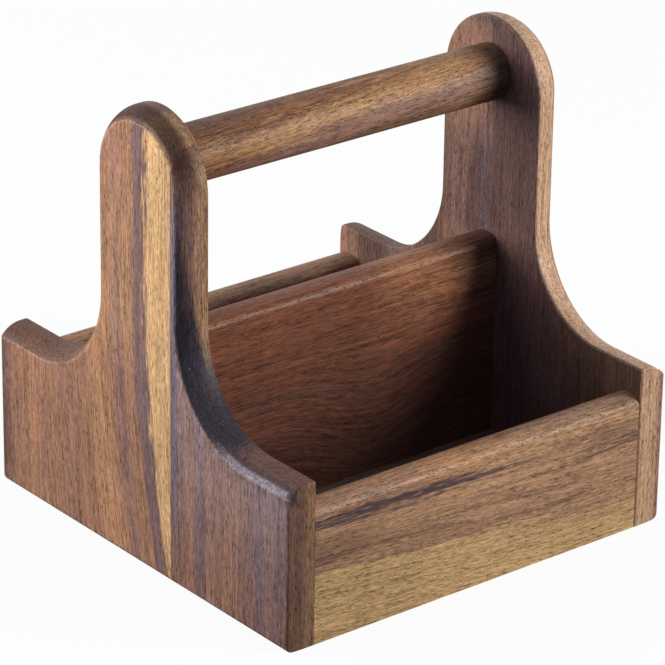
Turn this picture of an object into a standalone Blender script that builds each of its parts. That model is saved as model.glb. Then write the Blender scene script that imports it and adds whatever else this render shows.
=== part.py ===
"""Table caddy in solid wood.

Two shaped end boards are joined by a round carrying bar. Between them stand a front wall, a
rear wall and a taller divider, around a floor of three edge-glued staves. Every board meets
the end boards on dowels in blind holes, so no fastener shows.

Metres, +Z up. X runs along the carrying bar, the front is -Y, and the origin is the centre
of the underside.
"""

import math

import bmesh
import bpy
from mathutils import Matrix

# Overall size
body_length = 0.200
body_depth = 0.200
end_height = 0.2005

# Glue lines and bored joints: the space left between two neighbouring pieces
joint_gap = 0.0003

# End boards, seen from the side of the caddy
end_thickness = 0.0135
wing_height = 0.073
neck_half_width = 0.0302
wing_fillet_radius = 0.0418
rim_depth = 0.0103
rim_inset = 0.0053
foot_radius = 0.0028
inner_arris = 0.0007
left_seam_y = -0.0225
right_seam_y = 0.052

# Front wall, rear wall and divider
wall_thickness = 0.0135
wall_height = 0.0606
divider_height = 0.1029
crown_rise = 0.0020
wall_arris = 0.0008

# Floor
floor_thickness = 0.0106
floor_front_seam_y = -0.0310
floor_rear_seam_y = 0.0270

# Carrying bar, with a turned tenon at each end
bar_radius = 0.0124
bar_below_top = 0.0242
tenon_radius = 0.0075
tenon_chamfer = 0.0008

# Dowels
dowel_radius = 0.003
dowel_in_board = 0.016
dowel_chamfer = 0.0007
dowel_margin = 0.0165
blind_wood = 0.005

# Segments of the round shapes
crown_steps = 32
fillet_steps = 14
corner_steps = 4
rim_steps = 9
dome_steps = 8
arris_steps = 2
bar_steps = 40
dowel_steps = 12

# Places that follow from the sizes
half_depth = body_depth / 2
outer_x = body_length / 2
inner_x = outer_x - end_thickness
board_half_length = inner_x - joint_gap
wall_centre_y = half_depth - wall_thickness / 2
floor_edge_y = half_depth - wall_thickness - joint_gap
divider_foot = floor_thickness + joint_gap
bar_z = end_height - bar_below_top
joint_depth = end_thickness - blind_wood
peg_depth = joint_depth - joint_gap
bore_in_board = dowel_in_board + joint_gap

# Wood tones: base colour and roughness
wood_tones = {
    "brown_heartwood": ((0.33, 0.17, 0.10), 0.46),
    "grey_heartwood": ((0.16, 0.10, 0.09), 0.48),
    "warm_heartwood": ((0.36, 0.19, 0.09), 0.45),
    "red_heartwood": ((0.20, 0.09, 0.05), 0.44),
    "bar_heartwood": ((0.24, 0.12, 0.06), 0.42),
    "floor_heartwood": ((0.21, 0.12, 0.08), 0.55),
    "pale_dowel": ((0.62, 0.45, 0.28), 0.60),
}


def clear_scene():
    for old in list(bpy.data.objects):
        bpy.data.objects.remove(old, do_unlink=True)


def make_materials():
    materials = {}
    for name, (colour, roughness) in wood_tones.items():
        material = bpy.data.materials.new(name)
        material.use_nodes = True
        shader = material.node_tree.nodes["Principled BSDF"]
        shader.inputs["Base Color"].default_value = (*colour, 1)
        shader.inputs["Roughness"].default_value = roughness
        shader.inputs["Metallic"].default_value = 0
        materials[name] = material
    return materials


def add_piece(name, mesh_edit, material):
    """Turn an edited mesh into a named object with outward normals and smooth round faces."""
    bmesh.ops.recalc_face_normals(mesh_edit, faces=mesh_edit.faces)
    mesh = bpy.data.meshes.new(name)
    mesh_edit.to_mesh(mesh)
    mesh_edit.free()
    mesh.shade_smooth()
    mesh.set_sharp_from_angle(angle=math.radians(32))
    mesh.materials.append(material)
    piece = bpy.data.objects.new(name, mesh)
    bpy.context.collection.objects.link(piece)
    return piece


def arc_directions(start_degrees, end_degrees, steps):
    """Unit directions in the Y-Z plane, measured from +Y towards +Z."""
    directions = []
    for step in range(steps + 1):
        angle = math.radians(start_degrees + (end_degrees - start_degrees) * step / steps)
        directions.append((math.cos(angle), math.sin(angle)))
    return directions


def limited_fillet():
    """The fillet under the neck, no larger than the wing and the neck leave room for."""
    room_across = half_depth - neck_half_width - 2 * foot_radius
    room_up = end_height - neck_half_width - wing_height
    return min(wing_fillet_radius, room_across, room_up)


def end_board_outline(rim_in, edge_in):
    """Loop of y, z points round an end board, seen from the side.

    It runs along the foot to the rear, up the rear edge, over the rear wing, neck and crown,
    and down over the front wing. The shaped rim is drawn in by rim_in, and the foot and the
    rear edge by edge_in. The front edge stays square, so the rounding runs out through it.
    """
    fillet = limited_fillet()
    fillet_y = neck_half_width + fillet
    fillet_z = wing_height + fillet
    crown_z = end_height - neck_half_width
    hollow = fillet + rim_in
    swell = neck_half_width - rim_in
    corner_y = half_depth - edge_in - foot_radius
    corner_z = wing_height - rim_in - foot_radius

    outline = [(-half_depth, edge_in), (half_depth - edge_in, edge_in)]
    for across, up in arc_directions(0, 90, corner_steps):
        outline.append((corner_y + foot_radius * across, corner_z + foot_radius * up))
    for across, up in arc_directions(270, 180, fillet_steps):
        outline.append((fillet_y + hollow * across, fillet_z + hollow * up))
    for across, up in arc_directions(0, 180, crown_steps):
        outline.append((swell * across, crown_z + swell * up))
    for across, up in arc_directions(0, -90, fillet_steps):
        outline.append((hollow * across - fillet_y, fillet_z + hollow * up))
    outline.append((-half_depth, wing_height - rim_in))
    return outline


def rounding(depth, inset, reach):
    """How far an edge is drawn in at reach, by an arc that starts flush with the edge.

    The arc takes depth off the thickness and inset off the outer face. Where the two are
    alike it is a quarter circle, and otherwise it meets the outer face in a crisp line.
    """
    if reach <= 0:
        return 0
    radius = (depth**2 + inset**2) / (2 * inset)
    return radius - math.sqrt(max(radius**2 - reach**2, 0))


def end_board_mesh(side):
    """Loft of outlines from the inner face to the outer face; side is -1 left or 1 right."""
    rings = [(0, inner_arris, inner_arris), (inner_arris, 0, 0)]
    for step in range(rim_steps + 1):
        share = math.sin(math.radians(90) * step / rim_steps)
        from_inside = end_thickness - rim_depth * (1 - share)
        rim_in = rounding(rim_depth, rim_inset, rim_depth * share)
        edge_in = rounding(foot_radius, foot_radius, from_inside - end_thickness + foot_radius)
        rings.append((from_inside, rim_in, edge_in))

    board = bmesh.new()
    loops = []
    for from_inside, rim_in, edge_in in rings:
        x = side * (inner_x + from_inside)
        loops.append([board.verts.new((x, y, z)) for y, z in end_board_outline(rim_in, edge_in)])
    count = len(loops[0])
    for lower, upper in zip(loops, loops[1:]):
        for index in range(count):
            after = (index + 1) % count
            board.faces.new((lower[index], lower[after], upper[after], upper[index]))
    board.faces.new(loops[0])
    board.faces.new(loops[-1])
    return board


def keep_beyond(board, y, direction):
    """Saw a board through at y and keep the side towards direction, -1 front or 1 rear."""
    everything = board.verts[:] + board.edges[:] + board.faces[:]
    cut = bmesh.ops.bisect_plane(
        board,
        geom=everything,
        plane_co=(0, y, 0),
        plane_no=(0, direction, 0),
        clear_inner=True,
    )
    edges = [item for item in cut["geom_cut"] if isinstance(item, bmesh.types.BMEdge)]
    bmesh.ops.holes_fill(board, edges=edges)


def make_end_board(side_name, side, seam_y, materials):
    """The two staves of one end board, edge-glued at seam_y."""
    staves = []
    for name, direction, tone in (
        ("front_stave", -1, "grey_heartwood"),
        ("rear_stave", 1, "brown_heartwood"),
    ):
        stave = end_board_mesh(side)
        keep_beyond(stave, seam_y + direction * joint_gap / 2, direction)
        staves.append(add_piece(f"{side_name}_end_{name}", stave, materials[tone]))
    return staves


def domed_outline(centre_y, foot_z, top_z):
    """Section of a wall: square foot, upright faces and a gently domed top with eased arrises."""
    half = wall_thickness / 2
    dome = (half**2 + crown_rise**2) / (2 * crown_rise)
    dome_z = top_z - dome
    arris_y = half - wall_arris
    arris_z = dome_z + math.sqrt((dome - wall_arris) ** 2 - arris_y**2)
    meeting = math.degrees(math.atan2(arris_z - dome_z, arris_y))

    outline = [(-half, foot_z), (half, foot_z)]
    for across, up in arc_directions(0, meeting, arris_steps):
        outline.append((arris_y + wall_arris * across, arris_z + wall_arris * up))
    for across, up in arc_directions(meeting, 180 - meeting, dome_steps)[1:-1]:
        outline.append((dome * across, dome_z + dome * up))
    for across, up in arc_directions(180 - meeting, 180, arris_steps):
        outline.append((wall_arris * across - arris_y, arris_z + wall_arris * up))
    return [(centre_y + y, z) for y, z in outline]


def make_long_board(name, outline, material):
    """A board along X between the end boards, from its section in the Y-Z plane."""
    board = bmesh.new()
    section = board.faces.new([board.verts.new((-board_half_length, y, z)) for y, z in outline])
    grown = bmesh.ops.extrude_face_region(board, geom=[section])
    far_end = [item for item in grown["geom"] if isinstance(item, bmesh.types.BMVert)]
    bmesh.ops.translate(board, verts=far_end, vec=(2 * board_half_length, 0, 0))
    return add_piece(name, board, material)


def make_walls(materials):
    front = domed_outline(-wall_centre_y, 0, wall_height)
    rear = domed_outline(wall_centre_y, 0, wall_height)
    middle = domed_outline(0, divider_foot, divider_height)
    return [
        make_long_board("front_wall", front, materials["warm_heartwood"]),
        make_long_board("rear_wall", rear, materials["brown_heartwood"]),
        make_long_board("divider", middle, materials["red_heartwood"]),
    ]


def floor_stave_edges():
    """Name, front edge and rear edge of each floor stave."""
    half_gap = joint_gap / 2
    return [
        ("front", -floor_edge_y, floor_front_seam_y - half_gap),
        ("middle", floor_front_seam_y + half_gap, floor_rear_seam_y - half_gap),
        ("rear", floor_rear_seam_y + half_gap, floor_edge_y),
    ]


def make_floor(materials):
    staves = []
    for name, front_y, rear_y in floor_stave_edges():
        outline = [(front_y, 0), (rear_y, 0), (rear_y, floor_thickness), (front_y, floor_thickness)]
        staves.append(make_long_board(f"floor_{name}_stave", outline, materials["floor_heartwood"]))
    return staves


def make_bar(materials):
    """The carrying bar, turned about its own axis with a chamfered tenon at each end."""
    tip_x = inner_x + peg_depth
    half_profile = [
        (tip_x, 0),
        (tip_x, tenon_radius - tenon_chamfer),
        (tip_x - tenon_chamfer, tenon_radius),
        (board_half_length, tenon_radius),
        (board_half_length, bar_radius),
    ]
    profile = half_profile + [(-x, radius) for x, radius in reversed(half_profile)]

    bar = bmesh.new()
    points = [bar.verts.new((x, 0, bar_z + radius)) for x, radius in profile]
    edges = [bar.edges.new(pair) for pair in zip(points, points[1:])]
    bmesh.ops.spin(
        bar,
        geom=points + edges,
        cent=(0, 0, bar_z),
        axis=(1, 0, 0),
        angle=math.radians(360),
        steps=bar_steps,
        use_merge=True,
    )
    bmesh.ops.remove_doubles(bar, verts=bar.verts, dist=joint_gap / 10)
    return add_piece("carrying_bar", bar, materials["bar_heartwood"])


def add_round_rod(rod, start_x, end_x, y, z, radius, steps):
    """Add a closed cylinder along X to an edited mesh."""
    lying = Matrix.Rotation(math.radians(90), 4, "Y")
    bmesh.ops.create_cone(
        rod,
        cap_ends=True,
        segments=steps,
        radius1=radius,
        radius2=radius,
        depth=abs(end_x - start_x),
        matrix=Matrix.Translation(((start_x + end_x) / 2, y, z)) @ lying,
    )


def dowel_places():
    """Name, y and z of each dowel at one end of the caddy."""
    places = []
    for wall, wall_y in (("front_wall", -wall_centre_y), ("rear_wall", wall_centre_y)):
        places.append((f"{wall}_lower", wall_y, dowel_margin))
        places.append((f"{wall}_upper", wall_y, wall_height - dowel_margin))
    places.append(("divider_lower", 0, divider_foot + dowel_margin))
    places.append(("divider_upper", 0, divider_height - dowel_margin))
    for name, front_y, rear_y in floor_stave_edges():
        places.append((f"floor_{name}", (front_y + rear_y) / 2, floor_thickness / 2))
    return places


def make_dowels(side_name, side, materials):
    """Dowel pins with chamfered ends, each half in the end board and half in its long board."""
    for name, y, z in dowel_places():
        dowel = bmesh.new()
        add_round_rod(
            dowel,
            side * (inner_x - dowel_in_board),
            side * (inner_x + peg_depth),
            y,
            z,
            dowel_radius,
            dowel_steps,
        )
        rims = [edge for edge in dowel.edges if any(len(face.verts) > 4 for face in edge.link_faces)]
        bmesh.ops.bevel(dowel, geom=rims, offset=dowel_chamfer, segments=1, affect="EDGES")
        add_piece(f"{side_name}_{name}_dowel", dowel, materials["pale_dowel"])


def make_bore_cutter(side_name, side, materials):
    """All the blind holes at one end in one cutter: the dowels' and the bar tenon's."""
    cutter = bmesh.new()
    blind_end = side * (inner_x + joint_depth)
    for _, y, z in dowel_places():
        start = side * (inner_x - bore_in_board)
        add_round_rod(cutter, start, blind_end, y, z, dowel_radius + joint_gap, dowel_steps)
    mouth = side * board_half_length
    add_round_rod(cutter, mouth, blind_end, 0, bar_z, tenon_radius + joint_gap, bar_steps)
    piece = add_piece(f"{side_name}_bores", cutter, materials["pale_dowel"])
    piece.hide_render = True
    piece.display_type = "WIRE"
    return piece


def bore(piece, cutter):
    cut = piece.modifiers.new(cutter.name, "BOOLEAN")
    cut.operation = "DIFFERENCE"
    cut.solver = "EXACT"
    cut.object = cutter


def main():
    clear_scene()
    materials = make_materials()
    long_boards = make_walls(materials) + make_floor(materials)
    make_bar(materials)
    for side_name, side, seam_y in (("left", -1, left_seam_y), ("right", 1, right_seam_y)):
        staves = make_end_board(side_name, side, seam_y, materials)
        make_dowels(side_name, side, materials)
        cutter = make_bore_cutter(side_name, side, materials)
        for piece in staves + long_boards:
            bore(piece, cutter)


main()
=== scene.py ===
"""The table caddy's looks: finely rounded boards in oiled wood, in a plain white studio."""

import math
from types import SimpleNamespace

import bpy
from mathutils import Matrix, Vector


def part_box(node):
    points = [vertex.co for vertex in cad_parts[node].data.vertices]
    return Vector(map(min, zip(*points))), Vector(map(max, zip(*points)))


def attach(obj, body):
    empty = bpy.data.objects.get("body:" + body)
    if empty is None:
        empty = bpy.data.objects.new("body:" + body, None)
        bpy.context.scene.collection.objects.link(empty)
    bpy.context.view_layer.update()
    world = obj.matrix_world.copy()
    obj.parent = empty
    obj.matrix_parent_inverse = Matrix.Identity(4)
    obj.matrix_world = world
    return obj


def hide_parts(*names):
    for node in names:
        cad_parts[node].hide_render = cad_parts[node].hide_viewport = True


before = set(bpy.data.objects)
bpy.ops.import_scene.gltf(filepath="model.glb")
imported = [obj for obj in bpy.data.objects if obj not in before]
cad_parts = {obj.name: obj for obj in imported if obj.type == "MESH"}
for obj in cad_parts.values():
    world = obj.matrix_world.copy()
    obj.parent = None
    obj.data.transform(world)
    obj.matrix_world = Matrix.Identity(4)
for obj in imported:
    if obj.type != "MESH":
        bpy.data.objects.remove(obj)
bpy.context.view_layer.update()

# Sizes of the boards' shapes and joints, in metres
glue_line = 0.00006
butt_line = 0.00008
rim_depth = 0.0103
rim_inset = 0.0053
foot_radius = 0.0028
soft_arris = 0.0006
stave_arris = 0.00035
shoulder_radius = 0.0032
crown_rise = 0.0020
wing_fillet_radius = 0.0418
wing_rise = 0.073
neck_half_width = 0.0302
bar_arris = 0.0004
same_place = 0.00001
rim_steps = 12
dome_steps = 9
crown_vertices = 144
smooth_angle = math.radians(35)

# Places read from the frame
left_front_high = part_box("left_end_front_stave")[1]
left_rear_low, left_rear_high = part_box("left_end_rear_stave")
right_front_low, right_front_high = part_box("right_end_front_stave")
right_rear_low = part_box("right_end_rear_stave")[0]
bar_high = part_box("carrying_bar")[1]
dowel_names = sorted(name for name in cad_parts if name.endswith("_dowel"))

half_depth = left_rear_high.y
outer_x = right_front_high.x
inner_x = right_front_low.x
end_thickness = outer_x - inner_x
end_height = left_rear_high.z
wing_height = right_front_low.z + wing_rise
left_seam_y = (left_front_high.y + left_rear_low.y) / 2
right_seam_y = (right_front_high.y + right_rear_low.y) / 2
bar_radius = bar_high.y
bar_z = bar_high.z - bar_radius
tenon_tip_x = bar_high.x


def deselect_all():
    if bpy.context.object and bpy.context.object.mode == "EDIT":
        bpy.ops.object.mode_set(mode="OBJECT")
    bpy.ops.object.select_all(action="DESELECT")


def edit(piece, kind="VERT"):
    """Open a piece in edit mode with nothing selected."""
    deselect_all()
    bpy.context.view_layer.objects.active = piece
    piece.select_set(True)
    bpy.ops.object.mode_set(mode="EDIT")
    bpy.ops.mesh.select_mode(type=kind)
    bpy.ops.mesh.select_all(action="DESELECT")


def pick(piece, kind, test):
    """Select the vertices, edges or faces of a piece whose places pass a test."""
    edit(piece, kind)
    bpy.ops.object.mode_set(mode="OBJECT")
    mesh = piece.data
    if kind == "VERT":
        for vertex in mesh.vertices:
            vertex.select = bool(test(vertex.co))
    elif kind == "EDGE":
        for edge in mesh.edges:
            edge.select = bool(test(*(mesh.vertices[index].co for index in edge.vertices)))
    else:
        for face in mesh.polygons:
            face.select = bool(test(face))
    bpy.ops.object.mode_set(mode="EDIT")


def finish_piece(piece, name):
    """Put a piece's place into its mesh, name it, and shade its round faces smooth."""
    deselect_all()
    bpy.context.view_layer.objects.active = piece
    piece.select_set(True)
    bpy.ops.object.transform_apply(location=True, rotation=True, scale=True)
    bpy.ops.object.shade_smooth_by_angle(angle=smooth_angle)
    evened = piece.modifiers.new("evened", "WEIGHTED_NORMAL")
    evened.keep_sharp = True
    bpy.ops.object.modifier_apply(modifier=evened.name)
    piece.name = name
    piece.data.name = name
    return piece


def close(value, other):
    return abs(value - other) < same_place


# End boards

def draw_end_outline(x, overrun):
    """The board's outline as a flat face at x, with the wings and the foot left overlong."""
    fillet_z = wing_height + wing_fillet_radius
    crown_z = end_height - neck_half_width
    bpy.ops.mesh.primitive_circle_add(
        vertices=crown_vertices,
        radius=neck_half_width,
        fill_type="NOTHING",
        location=(x, 0, crown_z),
        rotation=(0, math.radians(90), 0),
    )
    board = bpy.context.object
    bpy.ops.object.transform_apply(location=True, rotation=True, scale=True)
    pick(board, "VERT", lambda co: co.z < crown_z - 1e-6)
    bpy.ops.mesh.delete(type="VERT")
    pick(board, "VERT", lambda co: close(co.z, crown_z))
    neck_down = {"value": (0, 0, fillet_z - crown_z)}
    bpy.ops.mesh.extrude_region_move(TRANSFORM_OT_translate=neck_down)
    for side in (-1, 1):
        fillet_y = side * (neck_half_width + wing_fillet_radius)
        wing_end_y = side * (half_depth + overrun)
        pick(board, "VERT", lambda co: close(co.z, fillet_z) and co.y * side > 0)
        bpy.ops.mesh.spin(
            steps=40,
            angle=math.radians(-90) * side,
            center=(x, fillet_y, fillet_z),
            axis=(1, 0, 0),
        )
        pick(board, "VERT", lambda co: close(co.y, fillet_y) and co.z < fillet_z - 1e-4)
        wing_out = {"value": (0, wing_end_y - fillet_y, 0)}
        bpy.ops.mesh.extrude_region_move(TRANSFORM_OT_translate=wing_out)
        pick(board, "VERT", lambda co: close(co.y, wing_end_y))
        foot_down = {"value": (0, 0, -wing_height - overrun)}
        bpy.ops.mesh.extrude_region_move(TRANSFORM_OT_translate=foot_down)
    pick(board, "VERT", lambda co: close(co.z, -overrun))
    bpy.ops.mesh.edge_face_add()
    bpy.ops.mesh.select_all(action="SELECT")
    bpy.ops.mesh.edge_face_add()
    return board


def rout_rim(board, side):
    """Raise the outer face in steps along the rim's arc, each drawn further in than the last."""
    radius = (rim_depth**2 + rim_inset**2) / (2 * rim_inset)
    last_angle = math.asin(rim_depth / radius)
    bpy.ops.mesh.select_all(action="SELECT")
    flush = {"value": (side * (end_thickness - rim_depth), 0, 0)}
    bpy.ops.mesh.extrude_region_move(TRANSFORM_OT_translate=flush)
    bpy.ops.mesh.select_all(action="SELECT")
    bpy.ops.mesh.normals_make_consistent(inside=False)
    pick(board, "FACE", lambda face: face.normal.x * side > 0.9)
    reach, inset = 0, 0
    for step in range(1, rim_steps + 1):
        angle = last_angle * step / rim_steps
        next_reach = radius * math.sin(angle)
        next_inset = radius * (1 - math.cos(angle))
        bpy.ops.mesh.inset(thickness=next_inset - inset, depth=next_reach - reach)
        reach, inset = next_reach, next_inset


def saw_off(board, place, outwards):
    """Saw through at a place and drop what lies beyond it."""
    edit(board)
    bpy.ops.mesh.select_all(action="SELECT")
    bpy.ops.mesh.bisect(plane_co=place, plane_no=outwards, use_fill=True, clear_outer=True)


def shape_end_board(side):
    """A whole end board with its rim, foot and corners rounded; side is -1 left or 1 right."""
    inner = side * inner_x
    outer = side * outer_x
    board = draw_end_outline(inner, end_thickness)
    rout_rim(board, side)
    saw_off(board, (0, half_depth, 0), (0, 1, 0))
    saw_off(board, (0, -half_depth, 0), (0, -1, 0))
    saw_off(board, (0, 0, 0), (0, 0, -1))

    def at_rear(a, b):
        return close(a.y, half_depth) and close(b.y, half_depth)

    def at_foot(a, b):
        return close(a.z, 0) and close(b.z, 0)

    def at_front(a, b):
        return close(a.y, -half_depth) and close(b.y, -half_depth)

    def at_x(a, b, x):
        return close(a.x, x) and close(b.x, x)

    def on_rounded_ends(a, b):
        foot = at_foot(a, b) and at_x(a, b, outer)
        return foot or (at_rear(a, b) and not at_x(a, b, inner))

    pick(board, "EDGE", on_rounded_ends)
    bpy.ops.mesh.bevel(offset=foot_radius, segments=7, affect="EDGES", clamp_overlap=False)

    def on_soft_arris(a, b):
        if at_foot(a, b) or at_rear(a, b):
            return False
        if at_front(a, b):
            return not at_x(a, b, inner)
        face_line = at_x(a, b, outer) and min(a.z, b.z) > wing_height - 1.5 * rim_inset
        return face_line or at_x(a, b, inner)

    pick(board, "EDGE", on_soft_arris)
    bpy.ops.mesh.bevel(offset=soft_arris, segments=3, affect="EDGES", clamp_overlap=False)
    bpy.ops.object.mode_set(mode="OBJECT")
    return board


def saw_stave(board, seam_y, direction, name):
    """A copy of the board sawn along its glue line, keeping the front (-1) or rear (1) side."""
    stave = board.copy()
    stave.data = board.data.copy()
    bpy.context.collection.objects.link(stave)
    edit(stave)
    bpy.ops.mesh.select_all(action="SELECT")
    bpy.ops.mesh.bisect(
        plane_co=(0, seam_y + direction * glue_line / 2, 0),
        plane_no=(0, direction, 0),
        use_fill=True,
        clear_inner=True,
    )
    bpy.ops.object.mode_set(mode="OBJECT")
    return finish_piece(stave, name)


def make_end_board(side_name, side, seam_y):
    board = shape_end_board(side)
    staves = {}
    for stave_name, direction in (("front", -1), ("rear", 1)):
        name = f"{side_name}_end_{stave_name}_board"
        stave = saw_stave(board, seam_y, direction, name)
        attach(stave, "root")
        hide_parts(f"{side_name}_end_{stave_name}_stave")
        staves[stave_name] = stave
    bpy.data.objects.remove(board)
    return staves


# Walls, divider and floor

def add_block(low, high):
    """A block between two corners, as long as the end boards leave room for."""
    size = high - low
    bpy.ops.mesh.primitive_cube_add(size=1, location=(low + high) / 2, scale=size)
    block = bpy.context.object
    bpy.ops.object.transform_apply(location=True, rotation=True, scale=True)
    return block


def board_corners(node):
    low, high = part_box(node)
    low.x = butt_line - inner_x
    high.x = inner_x - butt_line
    return low, high


def domed_section(half):
    """Half the top of a wall, from its face up: how far out each step lies and how far below the top.

    The shoulder is a small arc, and the low dome carries on from it.
    """
    dome = (half**2 + crown_rise**2) / (2 * crown_rise)
    small_out = half - shoulder_radius
    small_up = math.sqrt((dome - shoulder_radius) ** 2 - small_out**2)
    meeting = math.asin(small_out / (dome - shoulder_radius))
    section = []
    for step in range(dome_steps + 1):
        angle = math.radians(90) + (meeting - math.radians(90)) * step / dome_steps
        out = small_out + shoulder_radius * math.sin(angle)
        up = small_up + shoulder_radius * math.cos(angle)
        section.append((out, dome - up))
    for step in range(1, dome_steps):
        angle = meeting * (1 - step / dome_steps)
        section.append((dome * math.sin(angle), dome * (1 - math.cos(angle))))
    return section


def make_domed_board(node, name):
    """A wall whose faces round over into a low dome along its top."""
    low, high = board_corners(node)
    centre_y = (high.y + low.y) / 2
    section = domed_section((high.y - low.y) / 2)
    reach, drop = section[0]
    board = add_block(low, Vector((high.x, high.y, high.z - drop)))
    pick(board, "FACE", lambda face: face.normal.z > 0.9)
    for next_reach, next_drop in section[1:]:
        rise = {"value": (0, 0, drop - next_drop)}
        bpy.ops.mesh.extrude_region_move(TRANSFORM_OT_translate=rise)
        bpy.ops.transform.resize(
            value=(1, next_reach / reach, 1),
            center_override=(0, centre_y, high.z - next_drop),
        )
        reach, drop = next_reach, next_drop
    bpy.ops.object.mode_set(mode="OBJECT")
    finish_piece(board, name)
    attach(board, "root")
    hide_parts(node)
    return board


def make_floor_stave(node, name):
    low, high = board_corners(node)
    stave = add_block(low, high)
    pick(stave, "EDGE", lambda a, b: abs(a.x - b.x) > end_thickness)
    bpy.ops.mesh.bevel(offset=stave_arris, segments=3, affect="EDGES")
    bpy.ops.object.mode_set(mode="OBJECT")
    finish_piece(stave, name)
    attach(stave, "root")
    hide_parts(node)
    return stave


# Carrying bar

def make_bar():
    """The bar: a turned cylinder with eased shoulders and a tenon drawn out of each end."""
    half_length = inner_x - butt_line
    tenon_radius = 0.0075
    tenon_chamfer = 0.0008
    bpy.ops.mesh.primitive_cylinder_add(
        vertices=128,
        radius=bar_radius,
        depth=2 * half_length,
        location=(0, 0, bar_z),
        rotation=(0, math.radians(90), 0),
    )
    bar = bpy.context.object
    bpy.ops.object.transform_apply(location=True, rotation=True, scale=True)
    for side in (-1, 1):
        pick(bar, "FACE", lambda face: face.normal.x * side > 0.9)
        bpy.ops.mesh.inset(thickness=bar_radius - tenon_radius)
        out = {"value": (side * (tenon_tip_x - half_length - tenon_chamfer), 0, 0)}
        bpy.ops.mesh.extrude_region_move(TRANSFORM_OT_translate=out)
        tip = {"value": (side * tenon_chamfer, 0, 0)}
        bpy.ops.mesh.extrude_region_move(TRANSFORM_OT_translate=tip)
        taper = (tenon_radius - tenon_chamfer) / tenon_radius
        bpy.ops.transform.resize(value=(1, taper, taper), center_override=(0, 0, bar_z))

    def on_shoulder(co):
        radius = math.hypot(co.y, co.z - bar_z)
        return close(abs(co.x), half_length) and close(radius, bar_radius)

    pick(bar, "EDGE", lambda a, b: on_shoulder(a) and on_shoulder(b) and a.x * b.x > 0)
    bpy.ops.mesh.bevel(offset=bar_arris, segments=3, affect="EDGES")
    bpy.ops.object.mode_set(mode="OBJECT")
    finish_piece(bar, "turned_carrying_bar")
    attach(bar, "root")
    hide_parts("carrying_bar")
    return bar


deselect_all()
left_boards = make_end_board("left", -1, left_seam_y)
right_boards = make_end_board("right", 1, right_seam_y)
front_wall = make_domed_board("front_wall", "front_wall_board")
rear_wall = make_domed_board("rear_wall", "rear_wall_board")
divider = make_domed_board("divider", "divider_board")
floor_staves = {
    place: make_floor_stave(f"floor_{place}_stave", f"floor_{place}_board")
    for place in ("front", "middle", "rear")
}
bar = make_bar()


# Studio

def add_camera():
    """The photograph's view: azimuth from the front, height above the table and roll, in degrees."""
    azimuth = math.radians(-39.0013)
    elevation = math.radians(24.0733)
    roll = math.radians(0.8547)
    target = Vector((0.0016055, -0.0001987, 0.0774879))
    distance = 1.7216296
    back = Vector(
        (
            math.sin(azimuth) * math.cos(elevation),
            -math.cos(azimuth) * math.cos(elevation),
            math.sin(elevation),
        )
    )
    level = Vector((0, 0, 1)).cross(back).normalized()
    upright = back.cross(level)
    right = level * math.cos(roll) + upright * math.sin(roll)
    up = upright * math.cos(roll) - level * math.sin(roll)
    lens = bpy.data.cameras.new("camera")
    lens.sensor_width = 36
    lens.lens = 221.066
    camera = bpy.data.objects.new("camera", lens)
    camera.matrix_world = Matrix.LocRotScale(
        target + back * distance,
        Matrix((right, up, back)).transposed().to_quaternion(),
        None,
    )
    bpy.context.scene.collection.objects.link(camera)
    bpy.context.scene.camera = camera


def add_softbox(name, direction, distance, size, level, colour=(1, 1, 1)):
    """A square softbox; level is the brightness it gives a white card held facing it."""
    lamp = bpy.data.lights.new(name, "AREA")
    lamp.shape = "SQUARE"
    lamp.size = size
    lamp.energy = level * (math.pi * distance) ** 2
    lamp.color = colour
    softbox = bpy.data.objects.new(name, lamp)
    towards = Vector(direction).normalized()
    softbox.location = Vector((0, 0, 0.08)) + towards * distance
    softbox.rotation_euler = towards.to_track_quat("Z", "Y").to_euler()
    bpy.context.scene.collection.objects.link(softbox)


def add_world(level, colour):
    """Faint even light on the object, and white behind it."""
    world = bpy.data.worlds.new("studio")
    world.use_nodes = True
    bpy.context.scene.world = world
    nodes, links = world.node_tree.nodes, world.node_tree.links
    path = nodes.new("ShaderNodeLightPath")
    seen = path.outputs["Is Camera Ray"]
    for ray in ("Is Glossy Ray", "Is Transmission Ray"):
        either = nodes.new("ShaderNodeMath")
        either.operation = "MAXIMUM"
        links.new(seen, either.inputs[0])
        links.new(path.outputs[ray], either.inputs[1])
        seen = either.outputs[0]
    white = nodes.new("ShaderNodeBackground")
    white.inputs["Color"].default_value = (1, 1, 1, 1)
    white.inputs["Strength"].default_value = 1
    fill = nodes["Background"]
    fill.inputs["Color"].default_value = (*colour, 1)
    fill.inputs["Strength"].default_value = level
    mix = nodes.new("ShaderNodeMixShader")
    links.new(seen, mix.inputs["Fac"])
    links.new(fill.outputs[0], mix.inputs[1])
    links.new(white.outputs[0], mix.inputs[2])
    links.new(mix.outputs[0], nodes["World Output"].inputs["Surface"])


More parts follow.
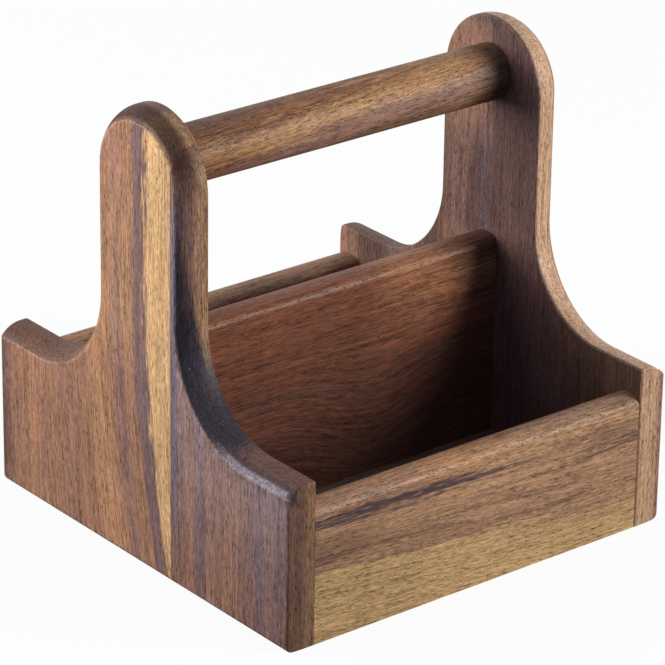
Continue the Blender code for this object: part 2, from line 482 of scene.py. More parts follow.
def add_floor():
    """A pale floor that looks white, keeps the caddy's shadow and throws little light back."""
    bpy.ops.mesh.primitive_plane_add(size=9, location=(0, 0, 0))
    floor = bpy.context.object
    floor.name = "studio_floor"
    material = bpy.data.materials.new("studio_floor")
    material.use_nodes = True
    nodes, links = material.node_tree.nodes, material.node_tree.links
    nodes.remove(nodes["Principled BSDF"])
    path = nodes.new("ShaderNodeLightPath")
    pale = nodes.new("ShaderNodeBsdfDiffuse")
    pale.inputs["Color"].default_value = (0.9, 0.9, 0.9, 1)
    glow = nodes.new("ShaderNodeEmission")
    glow.inputs["Color"].default_value = (1, 1, 1, 1)
    glow.inputs["Strength"].default_value = 1
    seen = nodes.new("ShaderNodeMixShader")
    seen.inputs["Fac"].default_value = 0.93
    links.new(pale.outputs[0], seen.inputs[1])
    links.new(glow.outputs[0], seen.inputs[2])
    dull = nodes.new("ShaderNodeBsdfDiffuse")
    dull.inputs["Color"].default_value = (0.16, 0.16, 0.16, 1)
    mix = nodes.new("ShaderNodeMixShader")
    links.new(path.outputs["Is Camera Ray"], mix.inputs["Fac"])
    links.new(dull.outputs[0], mix.inputs[1])
    links.new(seen.outputs[0], mix.inputs[2])
    links.new(mix.outputs[0], nodes["Material Output"].inputs["Surface"])
    floor.data.materials.append(material)


add_camera()
add_softbox("right_softbox", (1, -1.25, 0.5), 2.4, 1.1, 1.27, (1, 0.94, 0.83))
add_softbox("left_softbox", (-1, 0.8, 0.22), 1.8, 1.3, 1.46, (1, 0.93, 0.83))
add_softbox("top_softbox", (-0.6, 0.4, 0.78), 2, 0.7, 0.22, (0.8, 0.9, 1))
add_world(0.34, (0.36, 0.55, 1.0))
add_floor()


# Wood tones, as seen in plain light

def tone(red, green, blue):
    """A shader colour from its screen values of 0 to 255."""
    return (*[((value / 255 + 0.055) / 1.055) ** 2.4 for value in (red, green, blue)], 1)


cream = tone(206, 166, 118)
wheat = tone(168, 137, 96)
straw = tone(190, 149, 112)
honey = tone(172, 127, 95)
tan = tone(160, 117, 91)
chestnut = tone(151, 111, 91)
umber = tone(132, 100, 87)
plum = tone(121, 95, 93)
slate = tone(98, 84, 90)
ink = tone(54, 47, 56)
pitch = tone(43, 41, 52)
# Painted sheen: a pale bluish grey that stands in for gloss off the lamps
painted_sheen = tone(150, 139, 148)
# Dark brown for a knot and for painted shade
knot_and_shade_brown = tone(66, 40, 31)
damson = tone(93, 68, 64)
amber = tone(159, 123, 94)
drift = tone(178, 143, 115)
nut = tone(145, 112, 87)
bark = tone(122, 92, 71)
cedar = tone(116, 78, 54)
walnut = tone(104, 77, 62)
cocoa = tone(86, 63, 52)
rust = tone(118, 73, 51)
russet = tone(104, 61, 43)
claret = tone(85, 47, 34)
brick = tone(148, 99, 68)
hazel = tone(121, 91, 81)
toffee = tone(158, 115, 80)
oxblood = tone(80, 48, 38)
gold = tone(153, 114, 78)
fleck = tone(205, 178, 150)
end_grain = tone(92, 63, 50)
# Pale arris tone, partly from use and partly a painted highlight
worn_and_highlit = tone(196, 176, 160)


# Shader building

def plug(tree, socket, value):
    """Link a node's output to a socket, or set a plain value on it."""
    if isinstance(value, bpy.types.NodeSocket):
        tree.links.new(value, socket)
    else:
        socket.default_value = value


def maths(tree, operation, *values):
    node = tree.nodes.new("ShaderNodeMath")
    node.operation = operation
    for socket, value in zip(node.inputs, values):
        plug(tree, socket, value)
    return node.outputs[0]


def add_up(tree, *values):
    total = values[0]
    for value in values[1:]:
        total = maths(tree, "ADD", total, value)
    return total


def times(tree, *values):
    product = values[0]
    for value in values[1:]:
        product = maths(tree, "MULTIPLY", product, value)
    return product


def soft_step(tree, value, start, end):
    """0 up to start and 1 from end on, with a soft change between them."""
    node = tree.nodes.new("ShaderNodeMapRange")
    node.interpolation_type = "SMOOTHSTEP"
    plug(tree, node.inputs["Value"], value)
    plug(tree, node.inputs["From Min"], start)
    plug(tree, node.inputs["From Max"], end)
    return node.outputs["Result"]


def scaled(tree, vector, across, through, along):
    node = tree.nodes.new("ShaderNodeVectorMath")
    node.operation = "MULTIPLY"
    plug(tree, node.inputs[0], vector)
    node.inputs[1].default_value = (across, through, along)
    return node.outputs[0]


def clouds(tree, vector, sizes, detail=2):
    """Noise about 0; sizes are how many blotches a metre holds across, through and along the grain."""
    node = tree.nodes.new("ShaderNodeTexNoise")
    node.inputs["Scale"].default_value = 1
    node.inputs["Detail"].default_value = detail
    plug(tree, node.inputs["Vector"], scaled(tree, vector, *sizes))
    return maths(tree, "SUBTRACT", node.outputs["Fac"], 0.5)


def dashes(tree, vector, sizes, thinnest, thickest, share):
    """Short dashes along the grain: 1 inside one, 0 outside; share is how many cells hold one."""
    node = tree.nodes.new("ShaderNodeTexVoronoi")
    node.inputs["Scale"].default_value = 1
    plug(tree, node.inputs["Vector"], scaled(tree, vector, *sizes))
    luck = tree.nodes.new("ShaderNodeSeparateColor")
    plug(tree, luck.inputs[0], node.outputs["Color"])
    reach = add_up(tree, times(tree, luck.outputs[0], thickest - thinnest), thinnest)
    inside = soft_step(tree, maths(tree, "DIVIDE", node.outputs["Distance"], reach), 1, 0.55)
    return times(tree, inside, maths(tree, "LESS_THAN", luck.outputs[1], share))


def stain(tree, amount, colour, other):
    node = tree.nodes.new("ShaderNodeMix")
    node.data_type = "RGBA"
    plug(tree, node.inputs[0], amount)
    plug(tree, node.inputs[6], colour)
    plug(tree, node.inputs[7], other)
    return node.outputs[2]


def brightened(tree, colour, factor):
    node = tree.nodes.new("ShaderNodeHueSaturation")
    plug(tree, node.inputs["Color"], colour)
    plug(tree, node.inputs["Value"], factor)
    return node.outputs["Color"]


def bands(tree, place, stops):
    """Colours at places across the board, in millimetres."""
    first, last = stops[0][0] / 1000, stops[-1][0] / 1000
    share = maths(tree, "DIVIDE", maths(tree, "SUBTRACT", place, first), last - first)
    node = tree.nodes.new("ShaderNodeValToRGB")
    plug(tree, node.inputs["Fac"], share)
    ramp = node.color_ramp
    for number, (at, colour) in enumerate(stops):
        position = (at / 1000 - first) / (last - first)
        if number == 0:
            stop = ramp.elements[0]
            stop.position = 0
        elif number == len(stops) - 1:
            stop = ramp.elements[-1]
            stop.position = 1
        else:
            stop = ramp.elements.new(position)
        stop.color = colour
    return node.outputs["Color"]


def make_grain():
    """The fine grain that all pieces share: fibres, pores, flecks, pale arrises from use with a painted
    highlight on them, gloss and relief.
    """
    grain_tree = bpy.data.node_groups.new("oiled_grain", "ShaderNodeTree")
    interface = grain_tree.interface
    interface.new_socket("Grain", in_out="INPUT", socket_type="NodeSocketVector")
    interface.new_socket("Colour", in_out="INPUT", socket_type="NodeSocketColor")
    interface.new_socket("Wear And Highlight", in_out="INPUT", socket_type="NodeSocketFloat")
    interface.new_socket("Long Pores", in_out="INPUT", socket_type="NodeSocketFloat")
    interface.new_socket("End Grain", in_out="INPUT", socket_type="NodeSocketFloat")
    interface.new_socket("Colour", in_out="OUTPUT", socket_type="NodeSocketColor")
    interface.new_socket("Roughness", in_out="OUTPUT", socket_type="NodeSocketFloat")
    interface.new_socket("Normal", in_out="OUTPUT", socket_type="NodeSocketVector")
    given = grain_tree.nodes.new("NodeGroupInput").outputs
    grain = given["Grain"]
    fibres = clouds(grain_tree, grain, (1700, 1700, 260), 3)
    threads = clouds(grain_tree, grain, (1100, 1100, 55), 3)
    streaks = clouds(grain_tree, grain, (520, 520, 22), 3)
    lines = soft_step(grain_tree, clouds(grain_tree, grain, (330, 330, 6), 3), 0.06, 0.24)
    figure = clouds(grain_tree, grain, (55, 55, 18), 3)
    ripple = clouds(grain_tree, grain, (30, 30, 140))
    pores = dashes(grain_tree, grain, (1800, 1800, 430), 0.2, 0.42, 0.8)
    long_pores = dashes(grain_tree, grain, (1300, 1300, 120), 0.14, 0.3, 0.55)
    pits = maths(grain_tree, "MAXIMUM", pores, times(grain_tree, long_pores, given["Long Pores"]))
    light = add_up(
        grain_tree,
        1,
        times(grain_tree, fibres, 2.1),
        times(grain_tree, threads, 1.5),
        times(grain_tree, streaks, 0.8),
        times(grain_tree, lines, -0.18),
        times(grain_tree, figure, 0.4),
        times(grain_tree, ripple, 0.25),
        times(grain_tree, pits, -0.6),
    )
    soaked = times(grain_tree, given["End Grain"], 0.8)
    colour = stain(grain_tree, soaked, given["Colour"], end_grain)
    colour = brightened(grain_tree, colour, light)
    flecks = dashes(grain_tree, grain, (430, 430, 300), 0.05, 0.14, 0.06)
    colour = stain(grain_tree, times(grain_tree, flecks, 0.5), colour, fleck)
    raised = soft_step(grain_tree, add_up(grain_tree, fibres, figure), -0.2, 0.2)
    # Pale arrises, partly from use and partly a painted highlight along the edges
    rubbed_and_highlit = times(grain_tree, given["Wear And Highlight"], raised)
    colour = stain(grain_tree, times(grain_tree, rubbed_and_highlit, 0.25), colour, worn_and_highlit)
    gloss = add_up(
        grain_tree,
        0.47,
        times(grain_tree, streaks, 0.3),
        times(grain_tree, pits, 0.2),
        times(grain_tree, rubbed_and_highlit, 0.08),
    )
    height = add_up(
        grain_tree,
        times(grain_tree, fibres, 0.5),
        times(grain_tree, threads, 0.5),
        times(grain_tree, streaks, 0.3),
        times(grain_tree, pits, -0.7),
    )
    relief = grain_tree.nodes.new("ShaderNodeBump")
    relief.inputs["Strength"].default_value = 0.6
    relief.inputs["Distance"].default_value = 0.0003
    plug(grain_tree, relief.inputs["Height"], height)
    result = grain_tree.nodes.new("NodeGroupOutput").inputs
    plug(grain_tree, result["Colour"], colour)
    plug(grain_tree, result["Roughness"], gloss)
    plug(grain_tree, result["Normal"], relief.outputs[0])
    return grain_tree


oiled_grain = make_grain()


def begin_wood(name, axes, seed, wander=0.008, teeth=0.013, lean=None):
    """A wood whose grain is read from the piece's own place.

    Its axes are across, through and along the grain, and lean tells how far the grain leans across.
    """
    material = bpy.data.materials.new(name)
    material.use_nodes = True
    tree = material.node_tree
    place = tree.nodes.new("ShaderNodeTexCoord").outputs["Object"]
    split = tree.nodes.new("ShaderNodeSeparateXYZ")
    plug(tree, split.inputs[0], place)
    across, through, along = [split.outputs[axis] for axis in axes]
    if lean:
        across = add_up(tree, across, lean(tree, across, along))
    turned = tree.nodes.new("ShaderNodeCombineXYZ")
    for socket, value in zip(turned.inputs, (across, through, along)):
        plug(tree, socket, value)
    shift = tree.nodes.new("ShaderNodeVectorMath")
    plug(tree, shift.inputs[0], turned.outputs[0])
    shift.inputs[1].default_value = (seed * 0.37, seed * 0.21, seed * 0.53)
    grain = shift.outputs[0]
    loose = add_up(
        tree,
        times(tree, clouds(tree, grain, (22, 22, 7)), wander),
        times(tree, clouds(tree, grain, (260, 260, 16), 4), teeth),
        times(tree, clouds(tree, grain, (700, 700, 80)), 0.011),
    )
    return SimpleNamespace(
        material=material,
        tree=tree,
        grain=grain,
        across=across,
        through=through,
        along=along,
        loose=loose,
        level=add_up(tree, across, loose),
    )


def vein(wood, colour, start, end, width, other, strength):
    """A streak of another tone between two points (along, across) in millimetres, faded at its ends."""
    tree = wood.tree
    (start_along, start_across), (end_along, end_across) = start, end
    slope = (end_across - start_across) / (end_along - start_along)
    centre = add_up(tree, times(tree, wood.along, slope), (start_across - slope * start_along) / 1000)
    off = maths(tree, "ABSOLUTE", maths(tree, "SUBTRACT", wood.level, centre))
    side = soft_step(tree, off, width / 1000, width / 4000)
    fade = (end_along - start_along) * 0.2
    opening = soft_step(tree, wood.along, start_along / 1000, (start_along + fade) / 1000)
    closing = soft_step(tree, wood.along, end_along / 1000, (end_along - fade) / 1000)
    return stain(tree, times(tree, side, opening, closing, strength), colour, other)


def knot(wood, colour, place, size, other, strength):
    """A dark spot at a point (along, across) in millimetres, size along and across."""
    tree = wood.tree
    parts = []
    for value, centre, reach in zip((wood.along, wood.level), place, size):
        off = maths(tree, "DIVIDE", maths(tree, "SUBTRACT", value, centre / 1000), reach / 1000)
        parts.append(maths(tree, "POWER", maths(tree, "ABSOLUTE", off), 2))
    amount = soft_step(tree, add_up(tree, *parts), 1, 0.1)
    return stain(tree, times(tree, amount, strength), colour, other)


def edge_wear_and_highlight(tree, turned_piece):
    """1 on the arrises, pale from use and given a painted highlight: on an end board or a turned piece
    by how far the surface turns to X.
    """
    normal = tree.nodes.new("ShaderNodeNewGeometry").outputs["Normal"]
    split = tree.nodes.new("ShaderNodeSeparateXYZ")
    plug(tree, split.inputs[0], normal)
    x, y, z = [maths(tree, "ABSOLUTE", output) for output in split.outputs]
    if turned_piece:
        return times(tree, soft_step(tree, x, 0.8, 0.88), soft_step(tree, x, 0.995, 0.96))
    return soft_step(tree, maths(tree, "MAXIMUM", x, maths(tree, "MAXIMUM", y, z)), 0.88, 0.76)


def finish_wood(wood, colour, turned_piece=False, long_pores=0.5, soaks=False, kept=0.0, shine=0.22):
    """Link a wood's colour to its shader; kept is where a stain stays as it is on the end grain."""
    tree = wood.tree
    shared = tree.nodes.new("ShaderNodeGroup")
    shared.node_tree = oiled_grain
    plug(tree, shared.inputs["Grain"], wood.grain)
    plug(tree, shared.inputs["Colour"], colour)
    # Pale arrises, partly from use and partly a painted highlight; only a trace of it on flat boards
    wear_and_highlight = edge_wear_and_highlight(tree, turned_piece)
    plug(tree, shared.inputs["Wear And Highlight"], wear_and_highlight if turned_piece else times(tree, wear_and_highlight, 0.1))
    shared.inputs["Long Pores"].default_value = long_pores
    if soaks:
        normal = tree.nodes.new("ShaderNodeNewGeometry").outputs["Normal"]
        split = tree.nodes.new("ShaderNodeSeparateXYZ")
        plug(tree, split.inputs[0], normal)
        upward = maths(tree, "ABSOLUTE", split.outputs["Z"])
        drinking = maths(tree, "SUBTRACT", 1, kept)
        plug(tree, shared.inputs["End Grain"], times(tree, soft_step(tree, upward, 0.2, 0.75), drinking))
    shader = tree.nodes["Principled BSDF"]
    plug(tree, shader.inputs["Base Color"], shared.outputs["Colour"])
    plug(tree, shader.inputs["Roughness"], shared.outputs["Roughness"])
    plug(tree, shader.inputs["Normal"], shared.outputs["Normal"])
    shader.inputs["Specular IOR Level"].default_value = shine
    return wood.material


def painted_light_upward(wood, colour):
    """Painted light: a board a little darker at its foot than up its neck."""
    rise = soft_step(wood.tree, wood.along, -0.02, 0.15)
    return brightened(wood.tree, colour, add_up(wood.tree, times(wood.tree, rise, 0.2), 0.91))


def crown_patch_and_shade(wood, colour):
    """The dark top of the left neck's rounded edge, lighter toward the inner face: partly a dark patch
    in the wood and partly painted shade where the edge turns from the face.
    """
    tree = wood.tree
    normal = tree.nodes.new("ShaderNodeNewGeometry").outputs["Normal"]
    split = tree.nodes.new("ShaderNodeSeparateXYZ")
    plug(tree, split.inputs[0], normal)
    off_the_face = soft_step(tree, maths(tree, "ABSOLUTE", split.outputs["X"]), 0.81, 0.66)
    high = soft_step(tree, add_up(tree, wood.along, wood.loose), 0.166, 0.186)
    outward = soft_step(tree, wood.through, -0.0875, -0.0935)
    crown = times(tree, off_the_face, high, outward, 0.95)
    return stain(tree, crown, colour, knot_and_shade_brown), crown


def left_rear_wood():
    """Orange-brown heartwood with leaning plum streaks and a strip of cream sapwood at the glue line;
    painted light makes it brighter up the neck, and painted shade darkens part of the crown's rounded
    edge.
    """

    def lean(tree, across, along):
        below = maths(tree, "MAXIMUM", maths(tree, "SUBTRACT", 0.135, along), 0)
        near = add_up(tree, times(tree, soft_step(tree, across, 0.07, 0), 0.7), 0.3)
        return times(tree, below, below, 0.85, near)

    wood = begin_wood("left_rear_wood", ("Y", "X", "Z"), 1, wander=0.003, lean=lean)
    tree = wood.tree
    zone = add_up(tree, wood.level, times(tree, wood.through, 0.25), 0.025)
    colour = bands(
        tree,
        zone,
        (
            (-30, honey),
            (-21, straw),
            (-17, cream),
            (-9, cream),
            (-5.2, straw),
            (-4.2, plum),
            (2.8, plum),
            (4.2, tan),
            (10.5, tan),
            (12.5, chestnut),
            (19, chestnut),
            (22, tan),
            (25, honey),
            (31, honey),
            (38, tan),
            (46, chestnut),
            (58, chestnut),
            (63, tan),
            (70, chestnut),
            (77, tan),
            (86, tan),
            (92, chestnut),
            (97, umber),
            (101, walnut),
        ),
    )
    colour = vein(wood, colour, (150, 14.5), (-60, 15), 3.8, plum, 0.6)
    colour = vein(wood, colour, (120, 19.5), (-60, 21), 2, umber, 0.5)
    colour = vein(wood, colour, (115, 7.5), (-60, 8.5), 2.2, plum, 0.4)
    colour = vein(wood, colour, (90, 26), (-60, 25), 1.6, umber, 0.4)
    colour = vein(wood, colour, (75, 55), (-30, 52), 1.4, umber, 0.6)
    faded = times(
        tree,
        soft_step(tree, wood.along, 0.08, 0.11),
        soft_step(tree, wood.along, 0.18, 0.13),
        0.3,
    )
    colour = stain(tree, faded, colour, straw)
    colour = vein(wood, colour, (260, -0.4), (60, -0.6), 6, plum, 0.85)
    colour = painted_light_upward(wood, colour)
    # Painted light: the top of the neck a little brighter
    painted_light_on_top = add_up(tree, times(tree, soft_step(tree, wood.along, 0.15, 0.185), 0.12), 1)
    colour = brightened(tree, colour, painted_light_on_top)
    colour, crown = crown_patch_and_shade(wood, colour)
    return finish_wood(wood, colour, turned_piece=True, soaks=True, kept=crown, shine=0.16)


def left_front_wood():
    """Red-brown heartwood with slate streaks, a slate strip at the glue line and tan inside it; with
    painted sheen on its face and along the rim, and painted shade in the rounded rim over part of a dark
    streak.
    """
    wood = begin_wood("left_front_wood", ("Y", "X", "Z"), 2, wander=0.004)
    tree = wood.tree
    zone = add_up(tree, wood.level, times(tree, wood.through, 0.1), 0.01)
    colour = bands(
        tree,
        zone,
        (
            (-103, bark),
            (-99, bark),
            (-96.5, plum),
            (-92, plum),
            (-87, umber),
            (-82, plum),
            (-75, umber),
            (-68, umber),
            (-60, chestnut),
            (-54, umber),
            (-48, chestnut),
            (-44, plum),
            (-40, umber),
            (-35, chestnut),
            (-30, umber),
            (-20, umber),
        ),
    )
    colour = vein(wood, colour, (105, -43.5), (-50, -43), 5.4, slate, 0.22)
    colour = vein(wood, colour, (90, -81), (-15, -82.5), 4.4, slate, 0.3)
    colour = vein(wood, colour, (70, -68), (-30, -67), 1.4, tan, 0.5)
    strip = times(
        tree,
        soft_step(tree, wood.level, -0.0282, -0.0258),
        soft_step(tree, wood.along, 0.01, 0.055),
    )
    colour = stain(tree, strip, colour, slate)
    colour = painted_light_upward(wood, colour)
    # Painted sheen: a cool bluish gloss on the outer face, more of it higher up
    on_the_face = soft_step(tree, wood.through, -0.099, -0.0999)
    higher_up = soft_step(tree, wood.along, 0, 0.1)
    colour = stain(tree, times(tree, higher_up, on_the_face, 0.38), colour, painted_sheen)
    sawn = times(
        tree,
        soft_step(tree, wood.across, -0.0985, -0.0992),
        soft_step(tree, wood.through, -0.0885, -0.0945),
    )
    colour = stain(tree, times(tree, sawn, 0.75), colour, cocoa)
    colour = stain(tree, soft_step(tree, wood.along, 0.155, 0.178), colour, umber)
    inside = times(
        tree,
        soft_step(tree, wood.through, -0.0955, -0.0905),
        soft_step(tree, wood.level, -0.052, -0.038),
    )
    colour = stain(tree, inside, colour, nut)
    ragged = times(tree, wood.loose, 0.4)
    depth = add_up(tree, wood.through, ragged, times(tree, wood.along, 0.17), 0.0729)
    # Partly a real dark streak in the wood, partly painted shade in the concave fillet and down the
    # rounded rim
    streak_and_shade_pool = times(
        tree,
        soft_step(tree, add_up(tree, wood.along, ragged), 0.07, 0.079),
        soft_step(tree, add_up(tree, wood.along, ragged), 0.116, 0.092),
    )
    mineral_and_shade = times(
        tree,
        maths(tree, "MAXIMUM", soft_step(tree, depth, 0.0016, -0.0012), streak_and_shade_pool),
        soft_step(tree, wood.level, -0.082, -0.056),
        soft_step(tree, wood.along, 0.172, 0.138),
        soft_step(tree, wood.along, 0.062, 0.076),
        soft_step(tree, wood.through, -0.0999, -0.0991),
        add_up(tree, times(tree, soft_step(tree, wood.along, 0.105, 0.135), -0.2), 0.95),
    )
    colour = stain(tree, mineral_and_shade, colour, pitch)
    on_the_rim = times(
        tree,
        soft_step(tree, wood.level, -0.05, -0.062),
        soft_step(tree, wood.along, 0.063, 0.067),
    )
    # Painted shade: a dark band along the rounded rim a little in from the face line
    from_the_shade = maths(tree, "ABSOLUTE", add_up(tree, wood.through, ragged, 0.0976))
    shaded = times(tree, on_the_rim, soft_step(tree, from_the_shade, 0.003, 0.0012), 0.72)
    colour = stain(tree, shaded, colour, pitch)
    # Painted highlight: a thin pale bluish line on the rim next to the outer face
    painted_highlight_line = times(
        tree,
        on_the_rim,
        soft_step(tree, maths(tree, "ABSOLUTE", add_up(tree, wood.through, 0.099)), 0.0018, 0.0008),
        soft_step(tree, wood.through, -0.0999, -0.0996),
        soft_step(tree, wood.across, -0.0988, -0.0965),
    )
    colour = stain(tree, times(tree, painted_highlight_line, 0.7), colour, painted_sheen)
    colour, crown = crown_patch_and_shade(wood, colour)
    kept = crown
    for stained in (mineral_and_shade, shaded, painted_highlight_line):
        kept = maths(tree, "MAXIMUM", kept, stained)
    return finish_wood(wood, colour, turned_piece=True, soaks=True, kept=kept, shine=0.12)


def right_front_wood():
    """Brown with a slate line and a lighter streak up the neck, tan edges lightened in part by a painted
    highlight, and a banded outer face.
    """
    wood = begin_wood("right_front_wood", ("Y", "X", "Z"), 3)
    tree = wood.tree
    zone = add_up(tree, wood.level, times(tree, wood.through, -0.4), 0.035)
    colour = bands(
        tree,
        zone,
        (
            (-105, walnut),
            (-70, walnut),
            (-34, damson),
            (1, damson),
            (3.5, slate),
            (6, damson),
            (11, damson),
            (14, hazel),
            (24, hazel),
            (30, walnut),
            (36, damson),
            (55, umber),
        ),
    )
    higher = times(
        tree,
        soft_step(tree, wood.along, 0.135, 0.16),
        soft_step(tree, wood.along, 0.202, 0.192),
        soft_step(tree, wood.level, -0.004, 0.006),
    )
    colour = stain(tree, times(tree, higher, 0.7), colour, chestnut)
    # Tan edges, partly the wood's own tone and partly a painted highlight on the lit edges
    edge = soft_step(tree, wood.through, 0.0868, 0.0885)
    colour = stain(tree, edge, colour, drift)
    front_end = soft_step(tree, wood.across, -0.092, -0.098)
    colour = brightened(tree, colour, add_up(tree, times(tree, front_end, -0.11), 1))
    outer_face = bands(
        tree,
        wood.level,
        (
            (-100, umber),
            (-90, chestnut),
            (-76, umber),
            (-66, plum),
            (-61, umber),
            (-44, chestnut),
            (-28, umber),
            (-14, chestnut),
            (-4, tan),
            (8, chestnut),
            (18, umber),
            (25, plum),
            (31, umber),
            (44, chestnut),
            (54, umber),
        ),
    )
    colour = stain(tree, soft_step(tree, wood.through, 0.0955, 0.099), colour, outer_face)
    return finish_wood(wood, colour, turned_piece=True, long_pores=0.8, soaks=True, kept=edge)


def right_rear_wood():
    """Plum-brown like its neighbour, browner toward the rear."""
    wood = begin_wood("right_rear_wood", ("Y", "X", "Z"), 4)
    colour = bands(
        wood.tree,
        wood.level,
        (
            (45, umber),
            (62, plum),
            (72, damson),
            (78, damson),
            (84, walnut),
            (90, umber),
            (97, chestnut),
            (102, chestnut),
        ),
    )
    return finish_wood(wood, colour, turned_piece=True, soaks=True)


def front_wall_wood():
    """Wheat sapwood along the bottom, warm brown above it, with dark lines and a plum streak; painted
    light makes it brighter toward the right, in the middle and at the top left, and painted shade
    darkens its top toward the right.
    """

    def lean(tree, across, along):
        low = soft_step(tree, across, 0.055, 0.03)
        rising = times(tree, along, add_up(tree, times(tree, low, 0.067), 0.02))
        beyond = maths(tree, "MAXIMUM", maths(tree, "SUBTRACT", along, 0.045), 0)
        return add_up(tree, rising, times(tree, beyond, low, -0.07))

    wood = begin_wood("front_wall_wood", ("Z", "Y", "X"), 5, wander=0.004, lean=lean)
    tree = wood.tree
    colour = bands(
        tree,
        wood.level,
        (
            (-10, wheat),
            (23, wheat),
            (24, bark),
            (25.2, nut),
            (36, nut),
            (44, amber),
            (50, nut),
            (54, nut),
            (59, toffee),
            (72, toffee),
        ),
    )
    fading = times(
        tree,
        soft_step(tree, wood.along, -0.02, 0.05),
        soft_step(tree, wood.level, 0.009, 0.022),
    )
    colour = stain(tree, times(tree, fading, 0.8), colour, nut)
    # Painted light: the wall brighter toward the right, in the middle and on its top at the left
    middle = soft_step(tree, maths(tree, "ABSOLUTE", wood.along), 0.06, 0.01)
    painted_light_top_left = times(
        tree,
        soft_step(tree, wood.across, 0.0565, 0.0585),
        soft_step(tree, wood.along, 0.02, -0.03),
    )
    rightward = soft_step(tree, wood.along, -0.1, 0.1)
    light = add_up(
        tree,
        times(tree, rightward, 0.12),
        times(tree, middle, 0.07),
        times(tree, painted_light_top_left, 0.16),
        0.95,
    )
    colour = brightened(tree, colour, light)
    corner = times(
        tree,
        soft_step(tree, wood.along, -0.04, -0.07),
        soft_step(tree, wood.level, 0.0265, 0.03),
        soft_step(tree, wood.level, 0.047, 0.042),
    )
    colour = stain(tree, times(tree, corner, 0.85), colour, bark)
    colour = vein(wood, colour, (-130, 31), (10, 31), 1.8, walnut, 0.7)
    colour = vein(wood, colour, (-40, 27.5), (75, 27), 1.5, bark, 0.8)
    colour = vein(wood, colour, (0, 36.5), (60, 38), 1.6, bark, 0.9)
    colour = vein(wood, colour, (-20, 40), (120, 49), 1.5, bark, 0.8)
    colour = vein(wood, colour, (-150, 57.5), (-15, 57.5), 4.4, umber, 0.6)
    colour = vein(wood, colour, (-40, 54.5), (130, 56), 3, straw, 0.45)
    colour = vein(wood, colour, (-150, 52), (15, 51), 4.6, damson, 0.9)
    colour = vein(wood, colour, (-105, 51.5), (40, 50.5), 2.2, ink, 0.7)
    colour = vein(wood, colour, (30, 50.5), (140, 52.5), 3, bark, 0.7)
    colour = vein(wood, colour, (45, 46.5), (140, 49), 1.8, damson, 0.7)
    colour = vein(wood, colour, (30, 58), (150, 59), 3, nut, 0.7)
    # Painted shade: the top darker toward the right, near the right board's neck
    top = times(
        tree,
        soft_step(tree, wood.across, 0.0575, 0.0592),
        soft_step(tree, wood.along, 0.03, 0.09),
    )
    colour = stain(tree, times(tree, top, 0.4), colour, bark)
    return finish_wood(wood, colour, long_pores=0.8)


def rear_wall_wood():
    """Brown, lighter toward its top edge, with one dark line."""
    wood = begin_wood("rear_wall_wood", ("Z", "Y", "X"), 6)
    colour = bands(
        wood.tree,
        wood.level,
        (
            (0, umber),
            (12, chestnut),
            (26, walnut),
            (34, chestnut),
            (48, tan),
            (62, toffee),
        ),
    )
    colour = vein(wood, colour, (-100, 20), (80, 28), 3, cocoa, 0.6)
    rightward = soft_step(wood.tree, wood.along, -0.02, 0.05)
    colour = stain(wood.tree, times(wood.tree, rightward, 0.3), colour, walnut)
    return finish_wood(wood, colour)


def divider_wood():
    """Deep red-brown, lighter toward the top, its grain dipping round a small dark knot; painted shade
    darkens its lower middle and the top of its right end.
    """

    def lean(tree, across, along):
        beside = soft_step(tree, maths(tree, "ABSOLUTE", maths(tree, "SUBTRACT", along, 0.02)), 0.055, 0)
        return times(tree, beside, soft_step(tree, across, 0.085, 0.03), 0.012)

    wood = begin_wood("divider_wood", ("Z", "Y", "X"), 7, lean=lean)
    tree = wood.tree
    colour = bands(
        tree,
        wood.level,
        (
            (0, oxblood),
            (40, oxblood),
            (52, claret),
            (58, oxblood),
            (66, claret),
            (74, russet),
            (78, claret),
            (84, russet),
            (98, russet),
            (106, rust),
        ),
    )
    lighter = times(
        tree,
        soft_step(tree, wood.along, 0.012, 0.04),
        soft_step(tree, wood.level, 0.07, 0.096),
    )
    colour = stain(tree, times(tree, lighter, 0.75), colour, brick)
    # Painted shade: the lower middle of the divider darker
    shade = times(
        tree,
        soft_step(tree, maths(tree, "ABSOLUTE", add_up(tree, wood.along, -0.025)), 0.05, 0.01),
        soft_step(tree, wood.level, 0.066, 0.05),
    )
    colour = stain(tree, times(tree, shade, 0.5), colour, knot_and_shade_brown)
    colour = knot(wood, colour, (20, 41), (10, 1.9), knot_and_shade_brown, 0.8)
    # Painted shade: the top of the right end darker, where the right board shades it
    end = times(
        tree,
        soft_step(tree, wood.along, 0.035, 0.085),
        soft_step(tree, wood.across, 0.09, 0.097),
    )
    colour = stain(tree, times(tree, end, 0.8), colour, knot_and_shade_brown)
    return finish_wood(wood, colour, shine=0.26)


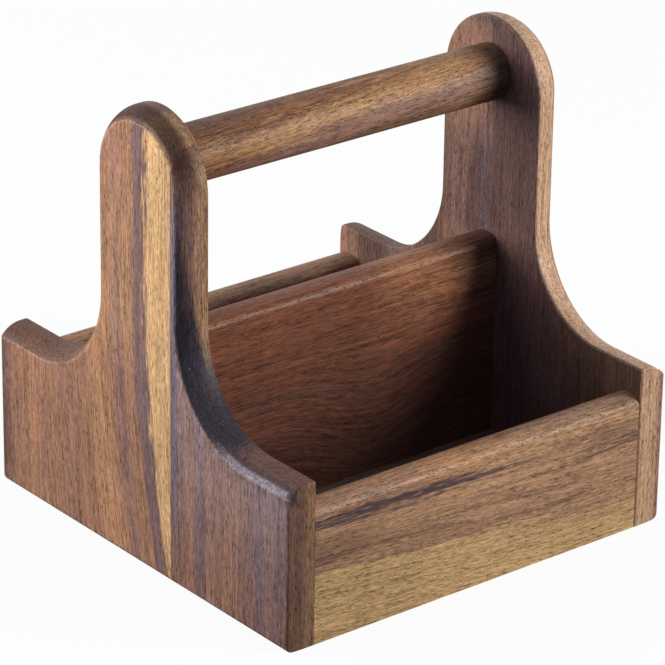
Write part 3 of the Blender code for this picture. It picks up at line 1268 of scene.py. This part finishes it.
def bar_wood():
    """Dark above and a golden band winding below it, over plum-brown with long pores, and a painted
    shadow on its right end.
    """

    def lean(tree, across, along):
        return add_up(tree, times(tree, along, -0.072), -bar_z - 0.0066)

    wood = begin_wood("bar_wood", ("Z", "Y", "X"), 8, wander=0.003, lean=lean)
    tree = wood.tree
    colour = bands(
        tree,
        wood.level,
        (
            (-26, walnut),
            (-16, bark),
            (-12, umber),
            (-6.5, umber),
            (-4, gold),
            (1.5, gold),
            (4.5, cedar),
            (6.5, cedar),
            (9, walnut),
            (14, walnut),
        ),
    )
    middle = soft_step(tree, maths(tree, "ABSOLUTE", wood.along), 0.075, 0.03)
    colour = brightened(tree, colour, add_up(tree, times(tree, middle, 0.12), 1))
    colour = stain(tree, times(tree, soft_step(tree, wood.along, -0.03, -0.075), 0.5), colour, cedar)
    # Painted shadow: the right end of the bar darkened where the right board's neck shades it
    colour = stain(tree, times(tree, soft_step(tree, wood.along, 0.06, 0.08), 0.75), colour, knot_and_shade_brown)
    return finish_wood(wood, colour, turned_piece=True, long_pores=1, shine=0.16)


def floor_wood(place):
    """Dark brown in broad bands, a little different in each stave."""
    wood = begin_wood(f"floor_{place}_wood", ("Y", "Z", "X"), 9 + len(place))
    colour = bands(
        wood.tree,
        times(wood.tree, add_up(wood.tree, wood.level, 0.1), 0.35),
        (
            (0, walnut),
            (12, cocoa),
            (22, umber),
            (34, walnut),
            (48, chestnut),
            (70, walnut),
        ),
    )
    return finish_wood(wood, colour)


def dowel_wood():
    """Pale, unoiled-looking wood with fine rings."""
    wood = begin_wood("dowel_wood", ("Y", "Z", "X"), 21, wander=0.002)
    zone = add_up(wood.tree, wood.level, 0.1)
    rings = maths(wood.tree, "PINGPONG", zone, 0.012)
    colour = bands(wood.tree, rings, ((0, wheat), (6, cream), (12, wheat)))
    return finish_wood(wood, colour, turned_piece=True)


def dress(piece, material):
    piece.data.materials.clear()
    piece.data.materials.append(material)


dress(left_boards["rear"], left_rear_wood())
dress(left_boards["front"], left_front_wood())
dress(right_boards["front"], right_front_wood())
dress(right_boards["rear"], right_rear_wood())
dress(front_wall, front_wall_wood())
dress(rear_wall, rear_wall_wood())
dress(divider, divider_wood())
dress(bar, bar_wood())
for place, stave in floor_staves.items():
    dress(stave, floor_wood(place))
pale_dowel = dowel_wood()
for name in dowel_names:
    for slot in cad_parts[name].material_slots:
        slot.material = pale_dowel

bpy.context.scene.view_settings.view_transform = "Standard"
